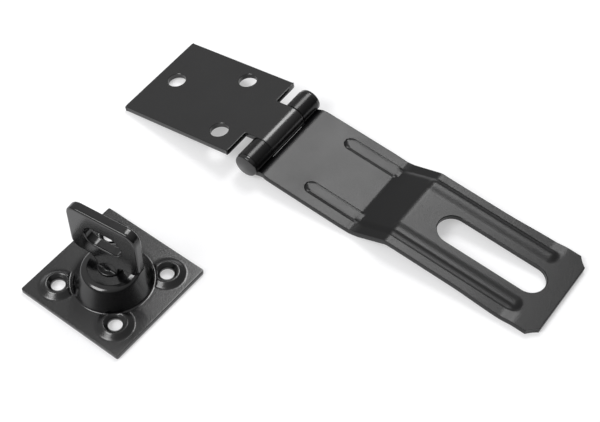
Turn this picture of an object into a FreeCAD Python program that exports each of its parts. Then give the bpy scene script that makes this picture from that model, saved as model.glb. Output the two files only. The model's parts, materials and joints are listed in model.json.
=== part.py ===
import FreeCAD, Part
import math
import os

import Sketcher

# Swivel safety hasp: a hinged strap with a slot, and a base plate with a turning eye.
# Millimetres and degrees. The row frame has +X along the strap, +Y along the hinge pin, +Z up.

# Driving sizes

SIZES = {
    "sheet_thickness": 2.2,
    "pin_radius": 2.55,
    "pin_clearance": 0.05,
    "pin_head_radius": 4.6,
    "pin_head_thickness": 1.6,
    "pin_head_bevel": 0.5,
    "pin_head_gap": 0.05,
    "knuckle_inset": 0.6,
    "tongue_width": 19.2,
    "knuckle_gap": 0.25,
    "curl_gap": 0.25,
    "leaf_overhang": 1.4,
    "leaf_length": 57.2,
    "leaf_notch": 7.2,
    "leaf_corner": 1.0,
    "leaf_hole_radius": 3.55,
    "leaf_hole_end_margin": 8.4,
    "leaf_hole_end_y": 0.6,
    "leaf_hole_far_x": 24.0,
    "leaf_hole_far_y": 13.5,
    "leaf_hole_near_x": 16.8,
    "leaf_hole_near_y": 13.1,
    "leaf_tilt": 9.36,
    "strap_width": 38.4,
    "strap_length": 120.2,
    "strap_low_top": 0.2,
    "strap_rise": 6.8,
    "ramp_start": 44.8,
    "ramp_end": 59.3,
    "bend_radius": 3.0,
    "dip_angle": 30.0,
    "dip_bend_radius": 2.0,
    "strap_curl_end": 2.0,
    "strap_notch": 5.4,
    "shoulder_start": 5.8,
    "shoulder_length": 2.4,
    "end_chamfer": 3.4,
    "slot_margin": 13.1,
    "slot_travel": 31.3,
    "slot_width": 11.8,
    "rib_offset": 12.6,
    "rib_width": 4.8,
    "rib_height": 0.9,
    "rib_start": 21.8,
    "bead_offset": 12.5,
    "bead_width": 6.2,
    "bead_height": 0.6,
    "bead_margin": 9.2,
    "plate_size": 44.6,
    "plate_thickness": 2.0,
    "plate_corner": 0.8,
    "plate_turn": -2.0,
    "staple_x": -9.0,
    "staple_y": -83.8,
    "screw_circle_radius": 18.7,
    "screw_hole_radius": 2.5,
    "boss_base_radius": 6.6,
    "boss_rim_radius": 4.4,
    "boss_height": 1.6,
    "countersink_radius": 3.9,
    "countersink_depth": 1.3,
    "boss_recess_radius": 4.4,
    "boss_recess_depth": 1.1,
    "boss_clear_radius": 15.2,
    "cone_base_radius": 14.4,
    "cone_height": 9.8,
    "cone_roof_radius": 8.8,
    "cone_edge_radius": 9.95,
    "cone_edge_drop": 0.35,
    "cone_wall_radius": 10.8,
    "cone_wall_drop": 1.25,
    "stem_radius": 4.4,
    "stem_collar": 2.0,
    "stem_tip_radius": 2.4,
    "stem_tip_rise": 1.6,
    "stem_pin_radius": 2.9,
    "stem_clearance": 0.05,
    "stem_seat_gap": 0.05,
    "eye_turn": 4.0,
    "eye_width": 28.4,
    "eye_height": 22.0,
    "eye_top_corner": 4.6,
    "eye_foot_corner": 3.8,
    "eye_bottom": 14.6,
    "eye_thickness": 3.7,
    "eye_edge": 0.8,
    "eye_neck_low": 7.9,
    "eye_neck_high": 10.6,
    "eye_neck_fillet": 2.4,
    "eye_hole_width": 14.9,
    "eye_hole_height": 8.7,
    "eye_hole_rise": 10.8,
    "washer_radius": 5.6,
    "washer_thickness": 1.2,
    "washer_gap": 0.15,
    "peen_radius": 4.2,
    "peen_thickness": 1.4,
}

doc = FreeCAD.newDocument("swivel_safety_hasp")
sheet = doc.addObject("Spreadsheet::Sheet", "sizes")
for row, (alias, number) in enumerate(SIZES.items(), start=1):
    sheet.set(f"A{row}", alias)
    sheet.set(f"B{row}", str(number))
    sheet.setAlias(f"B{row}", alias)
doc.recompute()


class Length:
    """A length with its value and the sheet expression that it comes from."""

    def __init__(self, value, text):
        self.value = value
        self.text = text

    def join(self, other, sign, value):
        """The result of one sum or product."""
        right = other.text if isinstance(other, Length) else repr(other)
        return Length(value, f"({self.text} {sign} {right})")

    def __add__(self, other):
        return self.join(other, "+", self.value + plain(other))

    def __sub__(self, other):
        return self.join(other, "-", self.value - plain(other))

    def __mul__(self, other):
        return self.join(other, "*", self.value * plain(other))

    def __truediv__(self, other):
        return self.join(other, "/", self.value / plain(other))

    def __neg__(self):
        return self * -1


def plain(length):
    """The number of a Length, or the number itself."""
    return length.value if isinstance(length, Length) else float(length)


def size(alias):
    """One driving size, read from the sheet."""
    return Length(float(sheet.get(alias)), "sizes." + alias)


def sine(angle):
    """The sine of an angle in degrees."""
    return Length(math.sin(math.radians(angle.value)), f"sin({angle.text})")


def cosine(angle):
    """The cosine of an angle in degrees."""
    return Length(math.cos(math.radians(angle.value)), f"cos({angle.text})")


# Helpers

UP = FreeCAD.Vector(0, 0, 1)
ZERO = Length(0.0, "0")
CUT_OVER = 2.0
CUT_THROUGH = Length(200.0, "200")
SINK = 0.3
EDGE_TOLERANCE = 1e-4


def origin_feature(body, role):
    """The plane or axis of the body's own origin with this role."""
    return next(f for f in body.Origin.OriginFeatures if f.Role == role)


def new_body(label):
    """An empty body whose label names its file."""
    body = doc.addObject("PartDesign::Body", label)
    body.Label = label
    return body


def new_sketch(body, name, role, shift=(ZERO, ZERO, ZERO)):
    """A sketch on one of the body's origin planes, shifted in the sketch's own axes."""
    sketch = body.newObject("Sketcher::SketchObject", name)
    sketch.AttachmentSupport = [(origin_feature(body, role), "")]
    sketch.MapMode = "FlatFace"
    offset = FreeCAD.Vector(*(length.value for length in shift))
    sketch.AttachmentOffset = FreeCAD.Placement(offset, FreeCAD.Rotation())
    for axis, length in zip("xyz", shift):
        if length is not ZERO:
            sketch.setExpression("AttachmentOffset.Base." + axis, length.text)
    return sketch


def point(x, y):
    """A point of a sketch."""
    return FreeCAD.Vector(plain(x), plain(y), 0)


def add_dimension(sketch, kind, refs, length):
    """A dimension at its present value, tied to the sheet."""
    sign = 1.0
    if kind != "Radius" and length.value < 0:
        refs = (refs[2], refs[3], refs[0], refs[1])
        sign = -1.0
    index = sketch.addConstraint(Sketcher.Constraint(kind, *refs, sign * length.value))
    name = f"size_{index}"
    sketch.renameConstraint(index, name)
    sketch.setExpression("Constraints." + name, length.text if sign > 0 else f"-{length.text}")


def pin_point(sketch, geometry, end, x, y):
    """Ties a point of the sketch to its two coordinates."""
    for kind, length, axis_line in (("DistanceX", x, -2), ("DistanceY", y, -1)):
        if length is ZERO:
            sketch.addConstraint(Sketcher.Constraint("PointOnObject", geometry, end, axis_line))
        elif length is not None:
            add_dimension(sketch, kind, (-1, 1, geometry, end), length)


def add_circle(sketch, x, y, radius):
    """A circle tied to the sheet."""
    index = sketch.addGeometry(Part.Circle(point(x, y), UP, radius.value))
    add_dimension(sketch, "Radius", (index,), radius)
    pin_point(sketch, index, 3, x, y)
    return index


def add_polygon(sketch, corners):
    """A closed loop of straight lines, each corner tied to its coordinates."""
    first = sketch.GeometryCount
    count = len(corners)
    for k in range(count):
        sketch.addGeometry(Part.LineSegment(point(*corners[k]), point(*corners[(k + 1) % count])))
    for k in range(count):
        sketch.addConstraint(Sketcher.Constraint("Coincident", first + k, 2, first + (k + 1) % count, 1))
        pin_point(sketch, first + k, 1, *corners[k])
    return first


def add_box(sketch, low_x, low_y, high_x, high_y):
    """A rectangle between two corners."""
    return add_polygon(sketch, [(low_x, low_y), (high_x, low_y), (high_x, high_y), (low_x, high_y)])


def add_slot(sketch, start, end, y, radius):
    """An obround along the sketch's X, between its two round centres."""
    first = sketch.GeometryCount
    low, high = y - radius, y + radius
    end_cap = Part.Circle(point(end, y), UP, radius.value)
    start_cap = Part.Circle(point(start, y), UP, radius.value)
    sketch.addGeometry(Part.LineSegment(point(start, low), point(end, low)))
    sketch.addGeometry(Part.ArcOfCircle(end_cap, -math.pi / 2, math.pi / 2))
    sketch.addGeometry(Part.LineSegment(point(end, high), point(start, high)))
    sketch.addGeometry(Part.ArcOfCircle(start_cap, math.pi / 2, 1.5 * math.pi))
    for k in range(4):
        sketch.addConstraint(Sketcher.Constraint("Tangent", first + k, 2, first + (k + 1) % 4, 1))
    add_dimension(sketch, "Radius", (first + 1,), radius)
    pin_point(sketch, first + 1, 3, end, y)
    pin_point(sketch, first + 3, 3, start, y)
    return first


def add_path(sketch, corners, radii):
    """An open route of straight runs between corners, joined by tangent arcs."""
    start = point(*corners[0])
    last_end = None
    for k, radius in enumerate(radii, start=1):
        corner = point(*corners[k])
        arrive = (corner - point(*corners[k - 1])).normalize()
        leave = (point(*corners[k + 1]) - corner).normalize()
        turn = math.atan2(arrive.x * leave.y - arrive.y * leave.x, arrive.dot(leave))
        reach = radius.value * math.tan(abs(turn) / 2)
        arc_start = corner - arrive * reach
        arc_end = corner + leave * reach
        side = math.copysign(1.0, turn)
        centre = arc_start + FreeCAD.Vector(-arrive.y, arrive.x, 0) * (side * radius.value)
        angles = [math.atan2(p.y - centre.y, p.x - centre.x) for p in (arc_start, arc_end)]
        arrival, departure = (1, 2) if side > 0 else (2, 1)
        low, high = angles if side > 0 else angles[::-1]
        if high < low:
            high += 2 * math.pi
        line = sketch.addGeometry(Part.LineSegment(start, arc_start))
        if last_end:
            sketch.addConstraint(Sketcher.Constraint("Tangent", line - 1, last_end, line, 1))
        arc = sketch.addGeometry(Part.ArcOfCircle(Part.Circle(centre, UP, radius.value), low, high))
        sketch.addConstraint(Sketcher.Constraint("Tangent", line, 2, arc, arrival))
        add_dimension(sketch, "Radius", (arc,), radius)
        last_end = departure
        start = arc_end
    line = sketch.addGeometry(Part.LineSegment(start, point(*corners[-1])))
    sketch.addConstraint(Sketcher.Constraint("Tangent", line - 1, last_end, line, 1))
    return line


def pad(body, sketch, name, length, side="Symmetric"):
    """Adds the sketch's area, to both sides of its plane or along its normal."""
    feature = body.newObject("PartDesign::Pad", name)
    feature.Profile = sketch
    feature.SideType = side
    feature.setExpression("Length", length.text)
    doc.recompute()
    return feature


def cut_checked(body, before, name):
    """Stops when a cut took nothing away."""
    doc.recompute()
    if body.Shape.Volume >= before - EDGE_TOLERANCE:
        raise ValueError(name + " cuts nothing")


def pocket(body, sketch, name, length, side="Symmetric", backwards=False):
    """Cuts the sketch's area out of the body."""
    before = body.Shape.Volume
    feature = body.newObject("PartDesign::Pocket", name)
    feature.Profile = sketch
    feature.SideType = side
    feature.Reversed = backwards
    feature.setExpression("Length", length.text)
    cut_checked(body, before, name)
    return feature


def turn(body, sketch, name, cut=False):
    """Spins the sketch's area about its own upright axis, to add it or to cut it."""
    before = body.Shape.Volume if cut else 0.0
    feature = body.newObject("PartDesign::Groove" if cut else "PartDesign::Revolution", name)
    feature.Profile = sketch
    feature.ReferenceAxis = (sketch, ["V_Axis"])
    feature.Angle = 360.0
    if cut:
        cut_checked(body, before, name)
    else:
        doc.recompute()
    return feature


def around(body, feature, name, count):
    """Repeats a feature round the body's Z axis."""
    pattern = body.newObject("PartDesign::PolarPattern", name)
    pattern.Originals = [feature]
    pattern.Axis = (origin_feature(body, "Z_Axis"), [""])
    pattern.Angle = 360.0
    pattern.Occurrences = count
    body.Tip = pattern
    doc.recompute()
    return pattern


def edges_where(shape, test):
    """The names of the edges of a shape that pass a test."""
    return [f"Edge{k}" for k, edge in enumerate(shape.Edges, start=1) if test(edge)]


def dress(body, kind, name, test, field, length):
    """Rounds or bevels the edges that pass a test."""
    names = edges_where(body.Shape, test)
    if not names:
        raise ValueError(name + " finds no edge")
    carrier = body.Tip
    feature = body.newObject("PartDesign::" + kind, name)
    feature.Base = (carrier, names)
    feature.setExpression(field, length.text)
    doc.recompute()
    if "Invalid" in feature.State:
        raise ValueError(name + " fails")
    return feature


def fillet(body, name, test, radius):
    """Rounds the edges that pass a test."""
    return dress(body, "Fillet", name, test, "Radius", radius)


def chamfer(body, name, test, width):
    """Bevels the edges that pass a test, equally on both faces."""
    return dress(body, "Chamfer", name, test, "Size", width)


def upright(edge):
    """Whether an edge is a straight line along Z."""
    ends = [v.Point for v in edge.Vertexes]
    if len(ends) != 2:
        return False
    return math.hypot(ends[0].x - ends[1].x, ends[0].y - ends[1].y) < EDGE_TOLERANCE


def level_at(edge, height):
    """Whether an edge lies at one height."""
    box = edge.BoundBox
    return abs(box.ZMin - height) < EDGE_TOLERANCE and abs(box.ZMax - height) < EDGE_TOLERANCE


def sweep(body, path, section, name):
    """Sweeps a section along a path, as a sheet is bent."""
    feature = body.newObject("PartDesign::AdditivePipe", name)
    feature.Profile = section
    feature.Spine = path
    feature.Mode = "Standard"
    feature.Transition = "Transformed"
    doc.recompute()
    return feature


# Sizes that follow from the driving ones

sheet_t = size("sheet_thickness")
roll_inner = size("pin_radius") + size("pin_clearance")
roll_outer = roll_inner + sheet_t
roll_middle = roll_inner + sheet_t / 2
low_top = size("strap_low_top")
low_middle = low_top - sheet_t / 2
high_top = low_top + size("strap_rise")
high_middle = low_middle + size("strap_rise")
half_strap = size("strap_width") / 2
half_leaf = half_strap + size("leaf_overhang")
half_tongue = size("tongue_width") / 2
half_span = half_strap - size("knuckle_inset")


# Hinge leaf: a flat plate whose middle tongue rolls over the pin

leaf = new_body("hinge_leaf")
leaf_path = new_sketch(leaf, "leaf_path", "XZ_Plane")
leaf_curl_end = -math.pi - math.asin((roll_inner - size("curl_gap")).value / roll_outer.value)
leaf_path.addGeometry(Part.LineSegment(point(-size("leaf_length"), roll_middle), point(0, roll_middle)))
leaf_roll = Part.Circle(point(0, 0), UP, roll_middle.value)
leaf_path.addGeometry(Part.ArcOfCircle(leaf_roll, leaf_curl_end, math.pi / 2))
leaf_path.addConstraint(Sketcher.Constraint("Coincident", 1, 3, -1, 1))
leaf_path.addConstraint(Sketcher.Constraint("Tangent", 0, 2, 1, 2))
leaf_path.addConstraint(Sketcher.Constraint("Horizontal", 0))
add_dimension(leaf_path, "Radius", (1,), roll_middle)
pin_point(leaf_path, 0, 1, -size("leaf_length"), None)

leaf_section = new_sketch(leaf, "leaf_section", "YZ_Plane", (ZERO, ZERO, -size("leaf_length")))
add_box(leaf_section, -half_leaf, roll_inner, half_leaf, roll_outer)
sweep(leaf, leaf_path, leaf_section, "leaf_sheet")

leaf_notches = new_sketch(leaf, "leaf_notches", "XY_Plane")
for side in (-1, 1):
    add_box(
        leaf_notches,
        -size("leaf_notch"),
        half_tongue * side,
        roll_outer + CUT_OVER,
        (half_leaf + CUT_OVER) * side,
    )
pocket(leaf, leaf_notches, "leaf_notch_cut", CUT_THROUGH)

leaf_holes = new_sketch(leaf, "leaf_holes", "XY_Plane")
leaf_hole_places = [
    (size("leaf_hole_end_margin") - size("leaf_length"), size("leaf_hole_end_y")),
    (-size("leaf_hole_far_x"), size("leaf_hole_far_y")),
    (-size("leaf_hole_near_x"), -size("leaf_hole_near_y")),
]
for hole_x, hole_y in leaf_hole_places:
    add_circle(leaf_holes, hole_x, hole_y, size("leaf_hole_radius"))
pocket(leaf, leaf_holes, "leaf_hole_cut", CUT_THROUGH)


def is_leaf_corner(edge):
    """Whether an edge is one of the plate's four upright corners."""
    return upright(edge) and abs(abs(edge.CenterOfMass.y) - half_leaf.value) < EDGE_TOLERANCE


fillet(leaf, "leaf_corners", is_leaf_corner, size("leaf_corner"))


# Hasp strap: a sheet that rolls over the pin's two ends and steps up to the slotted raised end

strap = new_body("hasp_strap")
strap.AllowCompound = True


CREST_SHARE = 0.7


def add_ribs(name, level, start, end, offset, width, height):
    """A pair of pressed ribs on top of the strap, with bevelled crests."""
    outline = new_sketch(strap, name + "_outline", "XY_Plane", (ZERO, ZERO, level - SINK))
    for side in (-1, 1):
        add_slot(outline, start + width / 2, end - width / 2, offset * side, width / 2)
    pad(strap, outline, name, height + SINK, "One side")
    crest = (level + height).value
    chamfer(strap, name + "_crest", lambda edge: level_at(edge, crest), height * CREST_SHARE)


rib_end = size("ramp_start") + size("rib_width")
add_ribs("ribs", low_top, size("rib_start"), rib_end, size("rib_offset"), size("rib_width"), size("rib_height"))
add_ribs(
    "beads",
    high_top,
    size("ramp_end"),
    size("strap_length") - size("bead_margin"),
    size("bead_offset"),
    size("bead_width"),
    size("bead_height"),
)

dip = size("dip_angle")
dip_foot = (roll_middle * sine(dip), -roll_middle * cosine(dip))
dip_top_x = dip_foot[0] + (low_middle - dip_foot[1]) * cosine(dip) / sine(dip)
route = [
    dip_foot,
    (dip_top_x, low_middle),
    (size("ramp_start"), low_middle),
    (size("ramp_end"), high_middle),
    (size("strap_length"), high_middle),
]
dip_bend = size("dip_bend_radius") + sheet_t / 2
ramp_bend = size("bend_radius") + sheet_t / 2
strap_path = new_sketch(strap, "strap_path", "XZ_Plane")
strap_roll = Part.Circle(point(0, 0), UP, roll_middle.value)
last_run = add_path(strap_path, route, [dip_bend, ramp_bend, ramp_bend])
curl_start = math.radians(size("strap_curl_end").value)
curl_finish = 1.5 * math.pi + math.radians(dip.value)
roll_arc = strap_path.addGeometry(Part.ArcOfCircle(strap_roll, curl_start, curl_finish))
strap_path.addConstraint(Sketcher.Constraint("Tangent", roll_arc, 2, 0, 1))
strap_path.addConstraint(Sketcher.Constraint("Coincident", roll_arc, 3, -1, 1))
strap_path.addConstraint(Sketcher.Constraint("Horizontal", 2))
strap_path.addConstraint(Sketcher.Constraint("Horizontal", last_run))
add_dimension(strap_path, "Radius", (roll_arc,), roll_middle)
pin_point(strap_path, last_run, 2, size("strap_length"), high_middle)

strap_section = new_sketch(strap, "strap_section", "YZ_Plane", (ZERO, ZERO, size("strap_length")))
add_box(strap_section, -half_strap, high_top - sheet_t, half_strap, high_top)
sweep(strap, strap_path, strap_section, "strap_sheet")

strap_notch = new_sketch(strap, "strap_notch", "XY_Plane")
notch_half = half_tongue + size("knuckle_gap")
add_box(strap_notch, -roll_outer - CUT_OVER, -notch_half, size("strap_notch"), notch_half)
pocket(strap, strap_notch, "strap_notch_cut", CUT_THROUGH)

strap_shoulders = new_sketch(strap, "strap_shoulders", "XY_Plane")
shoulder_end = size("shoulder_start") + size("shoulder_length")
for side in (-1, 1):
    outside = (half_strap + CUT_OVER) * side
    corners = [
        (-roll_outer - CUT_OVER, half_span * side),
        (size("shoulder_start"), half_span * side),
        (shoulder_end, half_strap * side),
        (shoulder_end, outside),
        (-roll_outer - CUT_OVER, outside),
    ]
    add_polygon(strap_shoulders, corners)
pocket(strap, strap_shoulders, "strap_shoulder_cut", CUT_THROUGH)

strap_corners = new_sketch(strap, "strap_corners", "XY_Plane")
for side in (-1, 1):
    corners = [
        (size("strap_length") - size("end_chamfer"), (half_strap + CUT_OVER) * side),
        (size("strap_length") - size("end_chamfer"), half_strap * side),
        (size("strap_length"), (half_strap - size("end_chamfer")) * side),
        (size("strap_length") + CUT_OVER, (half_strap - size("end_chamfer")) * side),
        (size("strap_length") + CUT_OVER, (half_strap + CUT_OVER) * side),
    ]
    add_polygon(strap_corners, corners)
pocket(strap, strap_corners, "strap_corner_cut", CUT_THROUGH)

slot_sketch = new_sketch(strap, "slot_outline", "XY_Plane")
slot_end = size("strap_length") - size("slot_margin")
slot_start = slot_end - size("slot_travel")
add_slot(slot_sketch, slot_start, slot_end, ZERO, size("slot_width") / 2)
pocket(strap, slot_sketch, "slot_cut", CUT_THROUGH)


# Hinge pin: a shaft with a flat bevelled head at each end

pin = new_body("hinge_pin")
pin_profile = new_sketch(pin, "pin_profile", "XY_Plane")
head_inner = half_span + size("pin_head_gap")
head_outer = head_inner + size("pin_head_thickness")
bevel = size("pin_head_bevel")
head_radius = size("pin_head_radius")
add_polygon(
    pin_profile,
    [
        (ZERO, -head_outer),
        (head_radius - bevel, -head_outer),
        (head_radius, bevel - head_outer),
        (head_radius, -head_inner),
        (size("pin_radius"), -head_inner),
        (size("pin_radius"), head_inner),
        (head_radius, head_inner),
        (head_radius, head_outer - bevel),
        (head_radius - bevel, head_outer),
        (ZERO, head_outer),
    ],
)
turn(pin, pin_profile, "pin_body")


# Staple base: a square plate drawn up into a cone, with four raised screw seats
# Its own X axis runs through a screw hole, so the plate's sides lie at 45 degrees to it.

base = new_body("staple_base")
plate_t = size("plate_thickness")
half_diagonal = size("plate_size") / 2 * math.sqrt(2)
plate_outline = new_sketch(base, "plate_outline", "XY_Plane")
diamond = [(half_diagonal, ZERO), (ZERO, half_diagonal), (-half_diagonal, ZERO), (ZERO, -half_diagonal)]
add_polygon(plate_outline, diamond)
pad(base, plate_outline, "plate", plate_t, "One side")
fillet(base, "plate_corners", upright, size("plate_corner"))

seat_place = (size("screw_circle_radius"), ZERO, ZERO)
seat_profile = new_sketch(base, "seat_profile", "XZ_Plane", seat_place)
seat_top = plate_t + size("boss_height")
add_polygon(
    seat_profile,
    [
        (ZERO, plate_t - SINK),
        (size("boss_base_radius"), plate_t - SINK),
        (size("boss_base_radius"), plate_t),
        (size("boss_rim_radius"), seat_top),
        (ZERO, seat_top),
    ],
)
seat = turn(base, seat_profile, "seat")
around(base, seat, "seats", 4)

ring_profile = new_sketch(base, "ring_profile", "XZ_Plane")
add_box(ring_profile, ZERO, plate_t, size("boss_clear_radius"), seat_top + CUT_OVER)
turn(base, ring_profile, "ring_cut", cut=True)

hole_profile = new_sketch(base, "hole_profile", "XZ_Plane", seat_place)
add_polygon(
    hole_profile,
    [
        (ZERO, -plate_t),
        (size("boss_recess_radius"), -plate_t),
        (size("boss_recess_radius"), size("boss_recess_depth")),
        (size("screw_hole_radius"), size("boss_recess_depth")),
        (size("screw_hole_radius"), seat_top - size("countersink_depth")),
        (size("countersink_radius"), seat_top),
        (size("countersink_radius"), seat_top + CUT_OVER),
        (ZERO, seat_top + CUT_OVER),
    ],
)
hole = turn(base, hole_profile, "screw_hole", cut=True)
around(base, hole, "screw_holes", 4)

cavity_profile = new_sketch(base, "cavity_profile", "XZ_Plane")
cavity_radius = size("cone_base_radius") - plate_t / 2
add_box(cavity_profile, ZERO, -plate_t, cavity_radius, plate_t + CUT_OVER)
turn(base, cavity_profile, "cavity_cut", cut=True)

cone_profile = new_sketch(base, "cone_profile", "XZ_Plane")
cone_top = size("cone_height")
stem_hole = size("stem_pin_radius") + size("stem_clearance")
add_polygon(
    cone_profile,
    [
        (size("cone_base_radius"), ZERO),
        (size("cone_base_radius"), plate_t),
        (size("cone_wall_radius"), cone_top - size("cone_wall_drop")),
        (size("cone_edge_radius"), cone_top - size("cone_edge_drop")),
        (size("cone_roof_radius"), cone_top),
        (stem_hole, cone_top),
        (stem_hole, cone_top - plate_t),
        (size("cone_wall_radius") - plate_t, cone_top - plate_t),
        (size("cone_base_radius") - plate_t, ZERO),
    ],
)
turn(base, cone_profile, "cone")


# Swivel eye: a thick forged eye with a padlock hole, on a stem that is peened under a washer

eye = new_body("swivel_eye")
stem_seat = cone_top + size("stem_seat_gap")
eye_low = size("eye_bottom")
eye_high = eye_low + size("eye_height")
half_eye = size("eye_width") / 2
half_neck_low = size("eye_neck_low") / 2
half_neck_high = size("eye_neck_high") / 2
eye_outline = new_sketch(eye, "eye_outline", "XZ_Plane")
add_polygon(
    eye_outline,
    [
        (-half_eye, eye_low),
        (-half_neck_high, eye_low),
        (-half_neck_low, stem_seat),
        (half_neck_low, stem_seat),
        (half_neck_high, eye_low),
        (half_eye, eye_low),
        (half_eye, eye_high),
        (-half_eye, eye_high),
    ],
)
pad(eye, eye_outline, "eye_plate", size("eye_thickness"))


def eye_corner_at(across, height):
    """A test for the two edges that run through the eye's thickness at these coordinates."""

    def test(edge):
        centre = edge.CenterOfMass
        beside = abs(abs(centre.x) - across.value) < EDGE_TOLERANCE
        return beside and level_at(edge, height.value) and abs(centre.y) < EDGE_TOLERANCE

    return test


fillet(eye, "eye_top_corners", eye_corner_at(half_eye, eye_high), size("eye_top_corner"))
fillet(eye, "eye_foot_corners", eye_corner_at(half_eye, eye_low), size("eye_foot_corner"))
fillet(eye, "eye_neck_corners", eye_corner_at(half_neck_high, eye_low), size("eye_neck_fillet"))

eye_hole = new_sketch(eye, "eye_hole", "XZ_Plane")
hole_radius = size("eye_hole_height") / 2
hole_reach = size("eye_hole_width") / 2 - hole_radius
add_slot(eye_hole, -hole_reach, hole_reach, eye_low + size("eye_hole_rise"), hole_radius)
pocket(eye, eye_hole, "eye_hole_cut", CUT_THROUGH)


def is_eye_rim(edge):
    """Whether an edge lies on one of the eye's two faces, above the neck's foot."""
    box = edge.BoundBox
    half = size("eye_thickness").value / 2
    on_face = abs(abs(box.YMin) - half) < EDGE_TOLERANCE and abs(box.YMin - box.YMax) < EDGE_TOLERANCE
    return on_face and box.ZMax > stem_seat.value + EDGE_TOLERANCE


chamfer(eye, "eye_rims", is_eye_rim, size("eye_edge"))

stem_profile = new_sketch(eye, "stem_profile", "XZ_Plane")
washer_top = cone_top - plate_t - size("washer_gap")
peen_top = washer_top - size("washer_thickness")
stem_tip = eye_low + size("stem_tip_rise")
add_polygon(
    stem_profile,
    [
        (ZERO, peen_top - size("peen_thickness")),
        (size("peen_radius"), peen_top - size("peen_thickness")),
        (size("peen_radius"), peen_top),
        (size("stem_pin_radius"), peen_top),
        (size("stem_pin_radius"), stem_seat),
        (size("stem_radius"), stem_seat),
        (size("stem_radius"), stem_seat + size("stem_collar")),
        (size("stem_tip_radius"), stem_tip),
        (ZERO, stem_tip),
    ],
)
turn(eye, stem_profile, "stem")


# Eye washer: the ring between the cone's roof and the peened end of the stem

washer = new_body("eye_washer")
washer_profile = new_sketch(washer, "washer_profile", "XZ_Plane")
washer_bore = size("stem_pin_radius") + size("stem_clearance")
add_box(washer_profile, washer_bore, peen_top, size("washer_radius"), washer_top)
turn(washer, washer_profile, "washer_ring")


# Places: the leaf's free edge, the strap's free end and the staple plate all rest at height 0

leaf_tilt = math.radians(size("leaf_tilt").value)
axis_height = size("leaf_length").value * math.sin(leaf_tilt) - roll_inner.value * math.cos(leaf_tilt)


def contact_tilt(reach, level):
    """The strap's tilt at which a point of its underside comes to height 0."""
    return math.asin(axis_height / math.hypot(reach, level)) + math.atan2(level, reach)


high_bottom = (high_top - sheet_t).value
low_bottom = (low_top - sheet_t).value
strap_tilt = min(
    contact_tilt(size("strap_length").value, high_bottom),
    contact_tilt(size("ramp_start").value, low_bottom),
)
hinge_point = FreeCAD.Vector(0, 0, axis_height)
staple_point = FreeCAD.Vector(size("staple_x").value, size("staple_y").value, 0)
AXIS_Y = FreeCAD.Vector(0, 1, 0)
leaf_turn = FreeCAD.Rotation(AXIS_Y, -math.degrees(leaf_tilt))
strap_turn = FreeCAD.Rotation(AXIS_Y, math.degrees(strap_tilt))
plate_turn = FreeCAD.Rotation(UP, 45 + size("plate_turn").value)
eye_turn = FreeCAD.Rotation(UP, size("eye_turn").value)
leaf.Placement = FreeCAD.Placement(hinge_point, leaf_turn)
strap.Placement = FreeCAD.Placement(hinge_point, strap_turn)
pin.Placement = FreeCAD.Placement(hinge_point, strap_turn)
base.Placement = FreeCAD.Placement(staple_point, plate_turn)
eye.Placement = FreeCAD.Placement(staple_point, eye_turn)
washer.Placement = FreeCAD.Placement(staple_point, eye_turn)
doc.recompute()

parts = [leaf, strap, pin, base, eye, washer]
reach = Part.makeCompound([part.Shape for part in parts]).optimalBoundingBox(False)
shift = FreeCAD.Vector(-(reach.XMin + reach.XMax) / 2, -(reach.YMin + reach.YMax) / 2, -reach.ZMin)
for part in parts:
    part.Placement = FreeCAD.Placement(part.Placement.Base + shift, part.Placement.Rotation)
doc.recompute()


# Checks and files

for item in doc.Objects:
    if "Invalid" in item.State or "Error" in item.State:
        raise ValueError("failed: " + item.Name)
for part in parts:
    if part.Shape.isNull() or not part.Shape.isValid() or len(part.Shape.Solids) != 1:
        raise ValueError("bad shape: " + part.Label)

os.makedirs("parts", exist_ok=True)
for part in parts:
    part.Shape.exportStep(f"parts/{part.Label}.step")
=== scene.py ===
"""Looks of a black swivel safety hasp: the hinged strap and the staple with its turning eye."""

import json
import logging
import math
from dataclasses import dataclass, field
from enum import Enum
from typing import Callable, Iterable

import bmesh
import bpy
from mathutils import Matrix, Vector

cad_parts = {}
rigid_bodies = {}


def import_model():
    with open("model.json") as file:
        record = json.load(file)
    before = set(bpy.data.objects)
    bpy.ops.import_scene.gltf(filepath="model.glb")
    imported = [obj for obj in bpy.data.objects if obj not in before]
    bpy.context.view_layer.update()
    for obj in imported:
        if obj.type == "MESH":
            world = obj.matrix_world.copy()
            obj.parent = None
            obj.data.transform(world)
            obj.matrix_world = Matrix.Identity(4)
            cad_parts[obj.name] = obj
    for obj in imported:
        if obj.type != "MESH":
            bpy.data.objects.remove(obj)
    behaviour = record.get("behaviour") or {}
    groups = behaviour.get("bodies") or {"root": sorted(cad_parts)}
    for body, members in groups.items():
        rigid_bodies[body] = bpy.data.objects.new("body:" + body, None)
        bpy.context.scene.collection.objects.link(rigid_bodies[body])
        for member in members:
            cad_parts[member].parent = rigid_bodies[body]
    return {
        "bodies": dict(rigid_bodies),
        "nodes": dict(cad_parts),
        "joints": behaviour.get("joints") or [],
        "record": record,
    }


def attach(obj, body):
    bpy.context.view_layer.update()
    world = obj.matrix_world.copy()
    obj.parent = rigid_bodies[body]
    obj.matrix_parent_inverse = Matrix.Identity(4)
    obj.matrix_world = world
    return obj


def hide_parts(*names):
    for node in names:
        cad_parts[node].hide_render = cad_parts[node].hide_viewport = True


LOG = logging.getLogger("swivel_safety_hasp")
MM = 0.001
WELD = 1e-5
PATCH_SIZE = 0.012
PATCH_DETAIL = 3.0
PEBBLE_DETAIL = 2.0
TINT_SPREAD = (0.8, 1.3)
BEND_STEPS = 8
ROUND_STEPS = 4
CORNER_STEPS = 10

# Edges sharper than these angles stay sharp, in degrees.
SHEET_EDGE = 38.0
TURNED_EDGE = 50.0
COATED_EDGE = 80.0

Pair = tuple[float, float]
Triple = tuple[float, float, float]


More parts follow.
